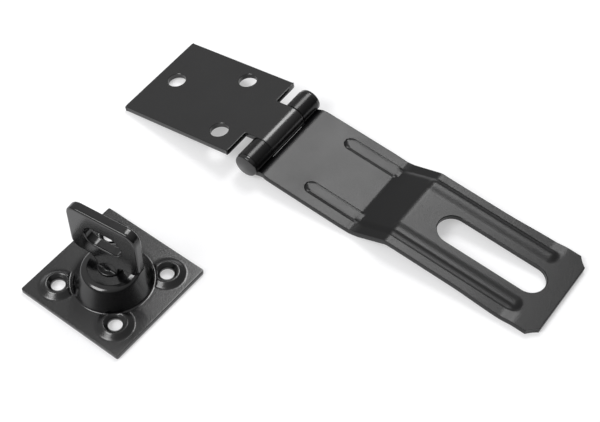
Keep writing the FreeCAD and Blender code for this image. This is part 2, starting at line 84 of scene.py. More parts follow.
class Sheen(Enum):
    """How much a powder coat shines."""

    SATIN = "satin"
    SEMI_GLOSS = "semi_gloss"
    GLOSS = "gloss"


ROUGHNESS: dict[Sheen, Pair] = {
    Sheen.SATIN: (0.27, 0.37),
    Sheen.SEMI_GLOSS: (0.20, 0.28),
    Sheen.GLOSS: (0.12, 0.20),
}


@dataclass(frozen=True)
class SmoothZone:
    """A round zone about an axis, where the coat lies smooth over rolled or drawn metal.

    Attributes:
        centre: A point of the axis, in metres.
        across: 1 for each direction that lies across the axis, else 0.
        inner: Radius up to which the coat lies smooth, in metres.
        outer: Radius from which it shows its grain, in metres.
        sheen: How much the zone shines.
    """

    centre: Vector
    across: Triple
    inner: float
    outer: float
    sheen: Sheen


@dataclass(frozen=True)
class PowderCoat:
    """A black powder coat with a pebbled skin.

    Attributes:
        name: Name of the material.
        sheen: How much it shines.
        specular: Strength of its reflections.
        pebble: Size of one pebble of the skin, in metres.
        relief: Height of the pebbles, in metres.
        color: Linear colour of the paint.
        smooth_zone: Where the coat lies smooth, if anywhere.
    """

    name: str
    sheen: Sheen
    specular: float
    pebble: float = 0.00045
    relief: float = 0.000012
    color: Triple = (0.003, 0.003, 0.0033)
    smooth_zone: SmoothZone | None = None

    def material(self) -> bpy.types.Material:
        """Builds the node material.

        Returns:
            The material, with its paint, its patchy gloss and its pebbled relief.
        """
        material = bpy.data.materials.new(self.name)
        material.use_nodes = True
        nodes = material.node_tree.nodes
        links = material.node_tree.links
        nodes.clear()
        output = nodes.new("ShaderNodeOutputMaterial")
        shader = nodes.new("ShaderNodeBsdfPrincipled")
        shader.inputs["IOR"].default_value = 1.5
        shader.inputs["Specular IOR Level"].default_value = self.specular
        links.new(shader.outputs["BSDF"], output.inputs["Surface"])
        place = nodes.new("ShaderNodeTexCoord")

        patches = self.noise(nodes, links, place, PATCH_SIZE, PATCH_DETAIL)
        roughness = self.spread(nodes, links, patches, ROUGHNESS[self.sheen])
        pebbles = self.noise(nodes, links, place, self.pebble, PEBBLE_DETAIL)
        if self.smooth_zone:
            grain = self.away(nodes, links, place, self.smooth_zone)
            glossy = self.spread(nodes, links, patches, ROUGHNESS[self.smooth_zone.sheen])
            roughness = self.blend(nodes, links, grain, glossy, roughness)
            flat = nodes.new("ShaderNodeMath")
            flat.operation = "MULTIPLY"
            links.new(pebbles, flat.inputs[0])
            links.new(grain, flat.inputs[1])
            pebbles = flat.outputs["Value"]
        links.new(roughness, shader.inputs["Roughness"])

        paint = nodes.new("ShaderNodeMix")
        paint.data_type = "RGBA"
        for socket, tint in zip(("A", "B"), TINT_SPREAD):
            paint.inputs[socket].default_value = (*(c * tint for c in self.color), 1.0)
        links.new(patches, paint.inputs["Factor"])
        links.new(paint.outputs["Result"], shader.inputs["Base Color"])

        skin = nodes.new("ShaderNodeBump")
        skin.inputs["Strength"].default_value = 1.0
        skin.inputs["Distance"].default_value = self.relief
        links.new(pebbles, skin.inputs["Height"])
        links.new(skin.outputs["Normal"], shader.inputs["Normal"])
        return material

    def noise(self, nodes: bpy.types.Nodes, links: bpy.types.NodeLinks, place: bpy.types.Node,
              grain: float, detail: float) -> bpy.types.NodeSocket:
        """Adds a noise pattern of one grain size, in metres."""
        pattern = nodes.new("ShaderNodeTexNoise")
        pattern.inputs["Scale"].default_value = 1.0 / grain
        pattern.inputs["Detail"].default_value = detail
        links.new(place.outputs["Object"], pattern.inputs["Vector"])
        return pattern.outputs["Fac"]

    def spread(self, nodes: bpy.types.Nodes, links: bpy.types.NodeLinks, value: bpy.types.NodeSocket,
               span: Pair) -> bpy.types.NodeSocket:
        """Spreads a value from 0 to 1 over a span."""
        reach = nodes.new("ShaderNodeMapRange")
        reach.inputs["To Min"].default_value, reach.inputs["To Max"].default_value = span
        links.new(value, reach.inputs["Value"])
        return reach.outputs["Result"]

    def blend(self, nodes: bpy.types.Nodes, links: bpy.types.NodeLinks, share: bpy.types.NodeSocket,
              low: bpy.types.NodeSocket, high: bpy.types.NodeSocket) -> bpy.types.NodeSocket:
        """Blends two values by a share."""
        mix = nodes.new("ShaderNodeMix")
        mix.data_type = "FLOAT"
        links.new(share, mix.inputs["Factor"])
        links.new(low, mix.inputs["A"])
        links.new(high, mix.inputs["B"])
        return mix.outputs["Result"]

    def away(self, nodes: bpy.types.Nodes, links: bpy.types.NodeLinks, place: bpy.types.Node,
             zone: SmoothZone) -> bpy.types.NodeSocket:
        """Tells how far outside a zone a point lies: 0 inside it and 1 well outside."""
        shift = nodes.new("ShaderNodeVectorMath")
        shift.operation = "SUBTRACT"
        shift.inputs[1].default_value = zone.centre
        links.new(place.outputs["Object"], shift.inputs[0])
        level = nodes.new("ShaderNodeVectorMath")
        level.operation = "MULTIPLY"
        level.inputs[1].default_value = zone.across
        links.new(shift.outputs["Vector"], level.inputs[0])
        reach = nodes.new("ShaderNodeVectorMath")
        reach.operation = "LENGTH"
        links.new(level.outputs["Vector"], reach.inputs[0])
        share = nodes.new("ShaderNodeMapRange")
        share.inputs["From Min"].default_value = zone.inner
        share.inputs["From Max"].default_value = zone.outer
        links.new(reach.outputs["Value"], share.inputs["Value"])
        return share.outputs["Result"]


def smooth_step(low: float, high: float, value: float) -> float:
    """Rises smoothly from 0 at low to 1 at high."""
    share = min(1.0, max(0.0, (value - low) / (high - low)))
    return share * share * (3.0 - 2.0 * share)


def draft_object(name: str, mesh: bmesh.types.BMesh) -> bpy.types.Object:
    """Links a bmesh as a plain object that is still being worked on, in millimetres."""
    data = bpy.data.meshes.new(name)
    mesh.to_mesh(data)
    mesh.free()
    thing = bpy.data.objects.new(name, data)
    bpy.context.scene.collection.objects.link(thing)
    return thing


def discard(things: Iterable[bpy.types.Object]) -> None:
    """Removes helper objects with their meshes."""
    for thing in things:
        data = thing.data
        bpy.data.objects.remove(thing)
        bpy.data.meshes.remove(data)


def settled(thing: bpy.types.Object) -> bmesh.types.BMesh:
    """Takes an object's mesh with its modifiers applied, and discards the object."""
    graph = bpy.context.evaluated_depsgraph_get()
    data = bpy.data.meshes.new_from_object(thing.evaluated_get(graph))
    mesh = bmesh.new()
    mesh.from_mesh(data)
    bpy.data.meshes.remove(data)
    discard([thing])
    return mesh


def combined(thing: bpy.types.Object, steps: list[tuple[str, bpy.types.Object]]) -> bmesh.types.BMesh:
    """Adds helper objects to an object or cuts them out of it.

    Args:
        thing: What is changed. It and the helpers are discarded.
        steps: Each step's boolean operation and helper, in order.

    Returns:
        The mesh that is left.
    """
    for operation, helper in steps:
        step = thing.modifiers.new(helper.name, "BOOLEAN")
        step.operation = operation
        step.solver = "EXACT"
        step.object = helper
    mesh = settled(thing)
    discard(helper for _, helper in steps)
    return mesh


def coated_over(name: str, mesh: bmesh.types.BMesh, voxel: float, rounds: int) -> bmesh.types.BMesh:
    """Rounds every edge and corner of a solid a little, as a thick coat of powder does.

    Args:
        name: Name of the helper object.
        mesh: The solid, in millimetres. It is freed.
        voxel: Size of the new mesh's cells.
        rounds: How often the new mesh is smoothed.

    Returns:
        The rounded solid.
    """
    draft = draft_object(name, mesh)
    coat = draft.modifiers.new("coat", "REMESH")
    coat.mode = "VOXEL"
    coat.voxel_size = voxel
    soften = draft.modifiers.new("soften", "SMOOTH")
    soften.factor = 0.5
    soften.iterations = rounds
    return settled(draft)


def rounded(mesh: bmesh.types.BMesh, geom: list, radius: float, segments: int, affect: str) -> None:
    """Rounds edges or corners of a bmesh.

    Args:
        mesh: The bmesh.
        geom: The edges or vertices to round.
        radius: How wide the rounding is.
        segments: Its steps.
        affect: EDGES or VERTICES.
    """
    bmesh.ops.bevel(
        mesh,
        geom=geom,
        offset=radius,
        offset_type="OFFSET",
        segments=segments,
        profile=0.5,
        affect=affect,
        clamp_overlap=True,
        material=-1,
    )


def turned(name: str, profile: list[Pair], closed: bool = True, rounding: float = 0.0,
           steps: int = 96) -> bpy.types.Object:
    """Spins a profile about Z.

    Args:
        name: Name of the helper object.
        profile: Radius and height of each corner.
        closed: Whether the profile is a ring's section, and not a line from axis to axis.
        rounding: Radius given to the corners.
        steps: Steps of the spin.

    Returns:
        The helper object.
    """
    mesh = bmesh.new()
    points = [mesh.verts.new((radius, 0.0, height)) for radius, height in profile]
    for first, second in zip(points, points[1:] + (points[:1] if closed else [])):
        mesh.edges.new((first, second))
    if rounding:
        inner = [v for v in mesh.verts if len(v.link_edges) == 2]
        rounded(mesh, inner, rounding, ROUND_STEPS, "VERTICES")
    bmesh.ops.spin(
        mesh,
        geom=mesh.verts[:] + mesh.edges[:],
        cent=(0.0, 0.0, 0.0),
        axis=(0.0, 0.0, 1.0),
        angle=math.tau,
        steps=steps,
        use_merge=True,
    )
    bmesh.ops.remove_doubles(mesh, verts=mesh.verts[:], dist=WELD)
    bmesh.ops.recalc_face_normals(mesh, faces=mesh.faces[:])
    return draft_object(name, mesh)


@dataclass(frozen=True)
class HoleCutter:
    """Cuts a round or oblong hole with broken edges through a flat wall.

    Attributes:
        start: X of the first round centre.
        end: X of the last one, the same for a round hole.
        across: Y of both.
        radius: Radius of the ends.
        low: Height of the wall's lower face.
        high: Height of its upper face.
        broken: Width of the broken edges.
    """

    start: float
    end: float
    across: float
    radius: float
    low: float
    high: float
    broken: float = 0.25

    def cutter(self) -> bpy.types.Object:
        """Builds the cutter: a turned plug that flares at both faces, drawn out to the hole's length."""
        reach = 2.0
        wide = self.radius + self.broken + reach
        plug = [
            (0.0, self.low - reach),
            (wide, self.low - reach),
            (self.radius, self.low + self.broken),
            (self.radius, self.high - self.broken),
            (wide, self.high + reach),
            (0.0, self.high + reach),
        ]
        tool = turned("hole_cutter", plug, closed=False)
        for vert in tool.data.vertices:
            centre = self.end if vert.co.x > 0 else self.start
            vert.co += Vector((centre, self.across, 0.0))
        return tool


def finished(name: str, mesh: bmesh.types.BMesh, place: Matrix, coat: bpy.types.Material,
             smooth_angle: float) -> bpy.types.Object:
    """Turns a bmesh in millimetres into a shaded object at the origin.

    Args:
        name: Name of the new object.
        mesh: The shape in its own frame. It is freed.
        place: From its own frame to the row frame, in metres.
        coat: Its material.
        smooth_angle: Edges sharper than this angle stay sharp, in degrees.

    Returns:
        The new object, linked to the scene.
    """
    bmesh.ops.transform(mesh, matrix=place @ Matrix.Scale(MM, 4), verts=mesh.verts[:])
    data = bpy.data.meshes.new(name)
    mesh.to_mesh(data)
    mesh.free()
    data.materials.append(coat)
    data.shade_smooth()
    data.set_sharp_from_angle(angle=math.radians(smooth_angle))
    thing = bpy.data.objects.new(name, data)
    bpy.context.scene.collection.objects.link(thing)
    LOG.info("%s: %d faces", name, len(data.polygons))
    return thing


def joint_point(frame: dict, joint_name: str) -> Vector:
    """Gives a joint's place in the row frame, in metres."""
    return Vector(next(j for j in frame["joints"] if j["name"] == joint_name)["pos_m"])


def joint_place(frame: dict, joint_name: str, turn: float, axis: str) -> Matrix:
    """Where a part stands that turns on a joint's axis.

    Args:
        joint_name: Name of the joint.
        turn: Turn about the axis at rest, in degrees.
        axis: Letter of the axis.

    Returns:
        The matrix from the part's own frame to the row frame.
    """
    spot = Matrix.Translation(joint_point(frame, joint_name))
    return spot @ Matrix.Rotation(math.radians(turn), 4, axis)


@dataclass(frozen=True)
class Stop:
    """One stop of a bent sheet's middle line, in millimetres, with its heading in radians."""

    x: float
    z: float
    heading: float


@dataclass
class SheetRoute:
    """The middle line of a bent sheet, seen from the side.

    Attributes:
        step: Distance between stops on a straight run.
        stops: The stops so far.
    """

    step: float
    stops: list[Stop] = field(default_factory=list)

    def arc(self, x: float, z: float, radius: float, start: float, finish: float, count: int) -> None:
        """Adds an arc about a centre, from one angle to another."""
        way = math.copysign(math.pi / 2, finish - start)
        for k in range(1 if self.stops else 0, count + 1):
            angle = start + (finish - start) * k / count
            self.stops.append(Stop(x + radius * math.cos(angle), z + radius * math.sin(angle), angle + way))

    def run(self, x: float, z: float, heading: float) -> None:
        """Adds a straight run up to a point."""
        last = self.stops[-1]
        count = max(1, round(math.hypot(x - last.x, z - last.z) / self.step))
        for k in range(1, count + 1):
            share = k / count
            self.stops.append(Stop(last.x + (x - last.x) * share, last.z + (z - last.z) * share, heading))

    def bend(self, x: float, z: float, radius: float, arrive: float, leave: float) -> None:
        """Adds a run towards a corner and the arc that rounds it."""
        reach = radius * math.tan(abs(leave - arrive) / 2)
        start_x = x - reach * math.cos(arrive)
        start_z = z - reach * math.sin(arrive)
        self.run(start_x, start_z, arrive)
        side = math.copysign(1.0, leave - arrive)
        quarter = side * math.pi / 2
        centre_x = start_x - side * radius * math.sin(arrive)
        centre_z = start_z + side * radius * math.cos(arrive)
        self.arc(centre_x, centre_z, radius, arrive - quarter, leave - quarter, BEND_STEPS)


Shape = Callable[[Stop, float], Triple | None]


@dataclass
class BentSheet:
    """A bent sheet of even thickness, laid out as stops along it and lanes across it.

    Attributes:
        route: The stops along it.
        marks: Places across it that must have a lane of their own.
        lane_step: Greatest distance between lanes.
        thickness: The sheet's thickness.
        rim: Radius of its edges.
    """

    route: SheetRoute
    marks: list[float]
    lane_step: float
    thickness: float
    rim: float

    def lanes(self) -> list[float]:
        """Gives the lanes across the sheet."""
        lanes = [self.marks[0]]
        for low, high in zip(self.marks, self.marks[1:]):
            count = max(1, round((high - low) / self.lane_step))
            lanes += [low + (high - low) * k / count for k in range(1, count + 1)]
        return lanes

    def solid(self, name: str, shape: Shape) -> bpy.types.Object:
        """Builds the sheet from a grid.

        Args:
            name: Name of the helper object.
            shape: Gives the shift along the sheet, the place across it and the push out of it for a stop
                and a lane, or None where the sheet is cut away.

        Returns:
            The helper object, a closed solid.
        """
        stops = self.route.stops
        lanes = self.lanes()
        mesh = bmesh.new()
        last_stop = len(stops) - 1
        last_lane = len(lanes) - 1
        bmesh.ops.create_grid(mesh, x_segments=last_stop, y_segments=last_lane, size=0.5)
        spare = []
        for vert in mesh.verts:
            stop = stops[round((vert.co.x + 0.5) * last_stop)]
            lane = lanes[round((vert.co.y + 0.5) * last_lane)]
            placed = shape(stop, lane)
            if placed is None:
                spare.append(vert)
                continue
            along, across, push = placed
            cos, sin = math.cos(stop.heading), math.sin(stop.heading)
            vert.co = (stop.x + along * cos - push * sin, across, stop.z + along * sin + push * cos)
        bmesh.ops.delete(mesh, geom=spare, context="VERTS")
        bmesh.ops.recalc_face_normals(mesh, faces=mesh.faces[:])
        draft = draft_object(name, mesh)
        wall = draft.modifiers.new("wall", "SOLIDIFY")
        wall.thickness = self.thickness
        wall.offset = 0.0
        wall.use_even_offset = True
        rim = draft.modifiers.new("rim", "BEVEL")
        rim.width = self.rim
        rim.segments = 3
        rim.limit_method = "ANGLE"
        rim.angle_limit = math.radians(60)
        return draft_object(name + "_blank", settled(draft))


def corner_shift(x: float, y: float, end: float, way: float, half: float,
                 radius: float) -> Pair:
    """Pulls a point of a sheet inside the rounded corner at one end.

    Args:
        x: Place along the sheet.
        y: Place across it.
        end: Where the sheet ends.
        way: The way that this end faces, 1 or -1.
        half: Half its width.
        radius: Radius of the corner.

    Returns:
        The shift along and across the sheet.
    """
    beyond = way * (x - (end - way * radius))
    outside = abs(y) - (half - radius)
    if beyond <= 0 or outside <= 0:
        return 0.0, 0.0
    reach = math.hypot(beyond, outside)
    inner = max(beyond, outside) / reach
    return way * beyond * (inner - 1.0), math.copysign(outside * (inner - 1.0), y)


@dataclass
class PressedStrap:
    """The strap: one sheet, rolled over the pin, stepped up, and pressed into ribs and ridges.

    Its own frame has the pin's axis along Y at the origin. Sizes are in millimetres and degrees.
    """

    tilt: float = 5.497
    thickness: float = 2.2
    rim: float = 0.35
    roll_radius: float = 3.7
    roll_start: float = 2.0
    dip: float = 24.0
    dip_bend: float = 3.1
    low_level: float = -0.9
    rise: float = 6.8
    ramp_start: float = 44.8
    ramp_end: float = 59.3
    ramp_bend: float = 4.6
    length: float = 120.2
    half_width: float = 19.2
    knuckle_half: float = 18.6
    waist_half: float = 18.4
    end_half: float = 19.0
    shoulder: Pair = (4.6, 9.4)
    notch_half: float = 9.85
    notch_end: float = 4.4
    barrel_room: float = 5.0
    rib_offset: float = 12.55
    rib_start: float = 21.8
    rib_half: float = 2.45
    rib_crest: float = 1.5
    rib_height: float = 0.85
    ridge_inner: Pair = (8.6, 12.3)
    ridge_outer: Pair = (12.7, 15.4)
    ridge_span: Pair = (60.5, 110.6)
    ridge_height: float = 0.42
    margin_drop: float = 0.75
    slot: Pair = (75.8, 107.1)
    slot_radius: float = 5.9
    corner_cut: float = 3.4
    scallop: float = 0.28
    scallop_radius: float = 14.0
    ridge_cap: float = 2.6
    ridge_taper: float = 2.9
    crest_flat: float = 0.04
    margin_start: Pair = (-1.5, 4.0)
    margin_end: Pair = (-4.5, 1.5)
    waist_reach: Pair = (-8.0, 6.0)
    end_flare: Pair = (86.0, 106.0)
    rolled_zone: Pair = (5.0, 6.5)
    cutter_gap: float = 0.05
    roll_steps: int = 60
    lane_step: float = 0.36
    step: float = 0.5

    def route(self) -> SheetRoute:
        """Follows the sheet's middle line from the curl's lip to the free end."""
        slope = math.atan2(self.rise, self.ramp_end - self.ramp_start)
        dip = math.radians(self.dip)
        route = SheetRoute(self.step)
        lip = math.radians(self.roll_start)
        route.arc(0.0, 0.0, self.roll_radius, lip, 1.5 * math.pi + dip, self.roll_steps)
        foot = route.stops[-1]
        high = self.low_level + self.rise
        dip_end = foot.x + (self.low_level - foot.z) / math.tan(dip)
        route.bend(dip_end, self.low_level, self.dip_bend, dip, 0.0)
        route.bend(self.ramp_start, self.low_level, self.ramp_bend, 0.0, slope)
        route.bend(self.ramp_end, high, self.ramp_bend, slope, 0.0)
        route.run(self.length, high, 0.0)
        return route

    def relief(self, x: float, side: float, level: float) -> float:
        """Tells how far the press has pushed the sheet out.

        Args:
            x: Place along the strap.
            side: Distance from its middle.
            level: Height of the unpressed middle line there.

        Returns:
            The push, upwards from the middle line.
        """
        along = max(0.0, self.rib_start + self.rib_half - x)
        away = math.hypot(along, side - self.rib_offset)
        room = max(0.0, self.rib_height - (level - self.low_level)) if x < self.ramp_end else 0.0
        rib = room * (1.0 - smooth_step(self.rib_crest, self.rib_half, away))
        start, end = self.ridge_span
        beyond = max(0.0, start - x, x - (end - self.ridge_cap))
        off_crest = math.hypot(beyond / self.ridge_taper, self.inside(side)) - self.crest_flat
        rise = 1.0 - smooth_step(0.0, 1.0, max(0.0, off_crest))
        fade = smooth_step(*(self.ramp_start + reach for reach in self.margin_start), x)
        fade *= 1.0 - smooth_step(*(end + reach for reach in self.margin_end), x)
        drop = smooth_step(*self.ridge_outer, side)
        ridge = self.ridge_height * rise * (1.0 - drop)
        return rib + ridge - self.margin_drop * fade * drop

    def inside(self, side: float) -> float:
        """Gives how far a place lies inwards of the ridge's crest, as a share of its inner flank."""
        low, high = self.ridge_inner
        return max(0.0, (high - side) / (high - low))

    def half_at(self, x: float) -> float:
        """Gives half the sheet's width at a place along it."""
        half = self.knuckle_half + (self.half_width - self.knuckle_half) * smooth_step(*self.shoulder, x)
        before, after = self.waist_reach
        waist = smooth_step(self.ramp_start + before, self.ramp_end + after, x)
        half += (self.waist_half - self.half_width) * waist
        return half + (self.end_half - self.waist_half) * smooth_step(*self.end_flare, x)

    def place(self, stop: Stop, lane: float) -> Triple | None:
        """Places one point of the sheet."""
        if stop.x < self.notch_end and abs(lane) < self.notch_half - WELD:
            return None
        side = abs(lane)
        if side > self.notch_half:
            outer = (side - self.notch_half) / (self.half_width - self.notch_half)
            side = self.notch_half + outer * (self.half_at(stop.x) - self.notch_half)
        push = 0.0 if stop.x < self.shoulder[1] else self.relief(stop.x, side, stop.z)
        return 0.0, math.copysign(side, lane), push

    def corner_cutter(self, side: float) -> bpy.types.Object:
        """Builds the round cutter that nips off one end corner."""
        mesh = bmesh.new()
        radius = self.scallop_radius
        bmesh.ops.create_cone(mesh, cap_ends=True, segments=128, radius1=radius, radius2=radius, depth=40.0)
        reach = (radius - self.corner_cut / math.sqrt(2) - self.scallop) / math.sqrt(2)
        corner = Vector((self.length + reach, side * (self.end_half + reach), 0.0))
        bmesh.ops.translate(mesh, verts=mesh.verts[:], vec=corner)
        return draft_object("corner_cutter", mesh)

    def barrel_cutter(self) -> bpy.types.Object:
        """Builds the round cutter that leaves room for the leaf's barrel between the knuckles."""
        half = self.notch_half - self.cutter_gap
        room = self.barrel_room
        plug = [(0.0, -half), (room, -half), (room, half), (0.0, half)]
        tool = turned("barrel_cutter", plug, closed=False)
        tool.data.transform(Matrix.Rotation(math.pi / 2, 4, "X"))
        return tool

    def build(self, frame: dict, coat: bpy.types.Material) -> None:
        """Builds the strap in the CAD strap's place.

        Args:
            coat: The strap's material.
        """
        marks = [-self.half_width, -self.notch_half, self.notch_half, self.half_width]
        sheet = BentSheet(self.route(), marks, self.lane_step, self.thickness, self.rim)
        blank = sheet.solid("strap", self.place)
        high = self.low_level + self.rise
        half = self.thickness / 2
        slot = HoleCutter(*self.slot, 0.0, self.slot_radius, high - half, high + half)
        corners = [("DIFFERENCE", self.corner_cutter(side)) for side in (1.0, -1.0)]
        cuts = [("DIFFERENCE", slot.cutter()), ("DIFFERENCE", self.barrel_cutter())]
        mesh = combined(blank, cuts + corners)
        place = joint_place(frame, "strap_hinge", self.tilt, "Y")
        piece = finished("hasp_strap_pressed", mesh, place, coat, SHEET_EDGE)
        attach(piece, "strap")
        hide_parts("hasp_strap")


@dataclass
class RolledLeaf:
    """The hinge leaf: a flat plate whose middle tongue rolls over the pin.

    Its own frame has the pin's axis along Y at the origin. Sizes are in millimetres and degrees.
    """

    tilt: float = -9.36
    thickness: float = 2.2
    rim: float = 0.22
    roll_radius: float = 3.7
    roll_inner: float = 2.6
    curl_gap: float = 0.25
    length: float = 57.2
    half_width: float = 20.6
    tongue_half: float = 9.6
    notch: float = 7.2
    corner: float = 1.0
    hole_radius: float = 3.55
    hole_break: float = 0.15
    holes: tuple[Pair, ...] = ((-48.8, 0.6), (-24.0, 13.5), (-16.8, -13.1))
    roll_steps: int = 64
    lane_step: float = 0.6
    step: float = 0.6

    def route(self) -> SheetRoute:
        """Follows the sheet's middle line from the free edge to the curl's lip."""
        outer = self.roll_inner + self.thickness
        finish = -math.pi - math.asin((self.roll_inner - self.curl_gap) / outer)
        route = SheetRoute(self.step, [Stop(-self.length, self.roll_radius, 0.0)])
        route.run(-self.notch, self.roll_radius, 0.0)
        route.run(0.0, self.roll_radius, 0.0)
        route.arc(0.0, 0.0, self.roll_radius, math.pi / 2, finish, self.roll_steps)
        return route

    def place(self, stop: Stop, lane: float) -> Triple | None:
        """Places one point of the sheet."""
        if stop.x > -self.notch + WELD and abs(lane) > self.tongue_half + WELD:
            return None
        end, way = (-self.length, -1.0) if stop.x < -self.length / 2 else (-self.notch, 1.0)
        if way > 0 and stop.x > -self.notch + WELD:
            return 0.0, lane, 0.0
        along, across = corner_shift(stop.x, lane, end, way, self.half_width, self.corner)
        return along, lane + across, 0.0

    def build(self, frame: dict, coat: bpy.types.Material) -> None:
        """Builds the leaf in the CAD leaf's place.

        Args:
            coat: The leaf's material.
        """
        marks = [-self.half_width, -self.tongue_half, self.tongue_half, self.half_width]
        sheet = BentSheet(self.route(), marks, self.lane_step, self.thickness, self.rim)
        blank = sheet.solid("leaf", self.place)
        wall = (self.roll_inner, self.roll_inner + self.thickness)
        drills = [HoleCutter(x, x, y, self.hole_radius, *wall, self.hole_break) for x, y in self.holes]
        mesh = combined(blank, [("DIFFERENCE", drill.cutter()) for drill in drills])
        place = joint_place(frame, "strap_hinge", self.tilt, "Y")
        piece = finished("hinge_leaf_rolled", mesh, place, coat, SHEET_EDGE)
        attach(piece, "fixed_halves")
        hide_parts("hinge_leaf")


@dataclass
class HeadedPin:
    """The hinge pin with its flat heads. Sizes are in millimetres."""

    radius: float = 2.55
    head_radius: float = 4.6
    head_inner: float = 18.65
    head_outer: float = 20.25
    rounding: float = 0.5
    round_middle: Pair = (0.15, 0.2)

    def build(self, frame: dict, coat: bpy.types.Material) -> None:
        """Builds the pin in the CAD pin's place.

        Args:
            coat: The pin's material.
        """
        wide, high = self.head_radius, self.head_outer
        inward, down = self.round_middle
        half = [
            (0.0, high),
            (wide - self.rounding, high),
            (wide - inward, high - down),
            (wide, high - self.rounding),
            (wide, self.head_inner),
            (self.radius, self.head_inner),
        ]
        profile = half + [(radius, -height) for radius, height in reversed(half)]
        mesh = settled(turned("pin", profile, closed=False))
        lying = Matrix.Rotation(math.pi / 2, 3, "X")
        bmesh.ops.rotate(mesh, verts=mesh.verts[:], cent=(0, 0, 0), matrix=lying)
        place = joint_place(frame, "strap_hinge", PressedStrap.tilt, "Y")
        piece = finished("hinge_pin_headed", mesh, place, coat, TURNED_EDGE)
        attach(piece, "strap")
        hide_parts("hinge_pin")


@dataclass
class PressedBase:
    """The staple base: a square plate drawn up into a cone, with four raised screw seats.

    Its own frame has the eye's axis along Z at the origin and the plate's sides along X and Y. Sizes are in
    millimetres and degrees.
    """

    turn: float = -2.0
    side: float = 44.6
    thickness: float = 2.0
    corner: float = 0.8
    seats: int = 4
    screw_circle: float = 18.7
    hole_radius: float = 2.5
    seat_base: float = 6.6
    seat_rim: float = 4.4
    seat_height: float = 1.6
    seat_root: float = 0.5
    sink_radius: float = 3.9
    sink_depth: float = 1.3
    recess_radius: float = 4.4
    recess_depth: float = 1.1
    ring_radius: float = 15.2
    grain_margin: float = 1.0
    cone_base: float = 14.4
    cone_shoulder: float = 10.6
    cone_roof: float = 8.1
    cone_height: float = 9.8
    cone_bend: tuple[Pair, ...] = ((0.0, 1.5), (0.4, 0.85), (1.2, 0.3))
    stem_hole: float = 2.95
    cut_over: float = 1.0
    voxel: float = 0.28
    rounds: int = 2

    def seat_place(self, thing: bpy.types.Object, index: int) -> bpy.types.Object:
        """Moves a helper to one of the screw seats, which lie towards the plate's corners."""
        angle = math.radians(45 + 90 * index)
        offset = Vector((self.screw_circle * math.cos(angle), self.screw_circle * math.sin(angle), 0.0))
        thing.data.transform(Matrix.Translation(offset))
        return thing

    def plate(self) -> bpy.types.Object:
        """Builds the flat plate with its small round corners."""
        mesh = bmesh.new()
        bmesh.ops.create_cube(mesh, size=1.0)
        bmesh.ops.scale(mesh, verts=mesh.verts[:], vec=(self.side, self.side, self.thickness))
        bmesh.ops.translate(mesh, verts=mesh.verts[:], vec=(0.0, 0.0, self.thickness / 2))
        upright = [e for e in mesh.edges if abs(e.verts[0].co.z - e.verts[1].co.z) > self.thickness / 2]
        rounded(mesh, upright, self.corner, ROUND_STEPS, "EDGES")
        return draft_object("plate", mesh)

    def seat(self) -> bpy.types.Object:
        """Builds one raised screw seat."""
        low = self.thickness - self.seat_root
        high = self.thickness + self.seat_height
        dish = [
            (0.0, low),
            (self.seat_base, low),
            (self.seat_base, self.thickness),
            (self.seat_rim, high),
            (0.0, high),
        ]
        return turned("seat", dish, closed=False, steps=72)

    def screw_hole(self) -> bpy.types.Object:
        """Builds the cutter of one countersunk hole, with the hollow that the press leaves below."""
        high = self.thickness + self.seat_height
        over = self.cut_over
        bore = [
            (0.0, -over),
            (self.recess_radius, -over),
            (self.recess_radius, self.recess_depth),
            (self.hole_radius, self.recess_depth),
            (self.hole_radius, high - self.sink_depth),
            (self.sink_radius, high),
            (self.sink_radius + over, high + over),
            (0.0, high + over),
        ]
        return turned("screw_hole", bore, closed=False, steps=72)

    def cone(self) -> bpy.types.Object:
        """Builds the drawn cone, with its rounded shoulder and its stem hole."""
        shell = self.thickness
        top = self.cone_height
        section = [
            (self.cone_base, 0.0),
            (self.cone_base, shell),
            *((self.cone_shoulder - inward, top - down) for inward, down in self.cone_bend),
            (self.cone_roof, top),
            (self.stem_hole, top),
            (self.stem_hole, top - shell),
            (self.cone_shoulder - shell, top - shell),
            (self.cone_base - shell, 0.0),
        ]
        return turned("cone", section, steps=144)

    def build(self, frame: dict, coat: bpy.types.Material) -> None:
        """Builds the base in the CAD base's place.

        Args:
            coat: The base's material.
        """
        low = self.thickness
        high = low + self.seat_height + self.cut_over
        ring = [(0.0, low), (self.ring_radius, low), (self.ring_radius, high), (0.0, high)]
        hollow = self.cone_base - self.thickness / 2
        cavity = [(0.0, -self.cut_over), (hollow, -self.cut_over), (hollow, high), (0.0, high)]
        steps = [("UNION", self.seat_place(self.seat(), k)) for k in range(self.seats)]
        steps += [("DIFFERENCE", turned("ring", ring, closed=False))]
        steps += [("DIFFERENCE", self.seat_place(self.screw_hole(), k)) for k in range(self.seats)]
        steps += [("DIFFERENCE", turned("cavity", cavity, closed=False)), ("UNION", self.cone())]
        mesh = coated_over("base", combined(self.plate(), steps), self.voxel, self.rounds)
        place = staple_place(frame, self.turn)
        piece = finished("staple_base_pressed", mesh, place, coat, COATED_EDGE)
        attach(piece, "fixed_halves")
        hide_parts("staple_base")


def staple_place(frame: dict, turn: float) -> Matrix:
    """Where a part of the staple stands, from its own frame at the base's underside to the row frame."""
    lift = Matrix.Translation((0, 0, -PressedBase.cone_height * MM))
    return joint_place(frame, "eye_swivel", turn, "Z") @ lift


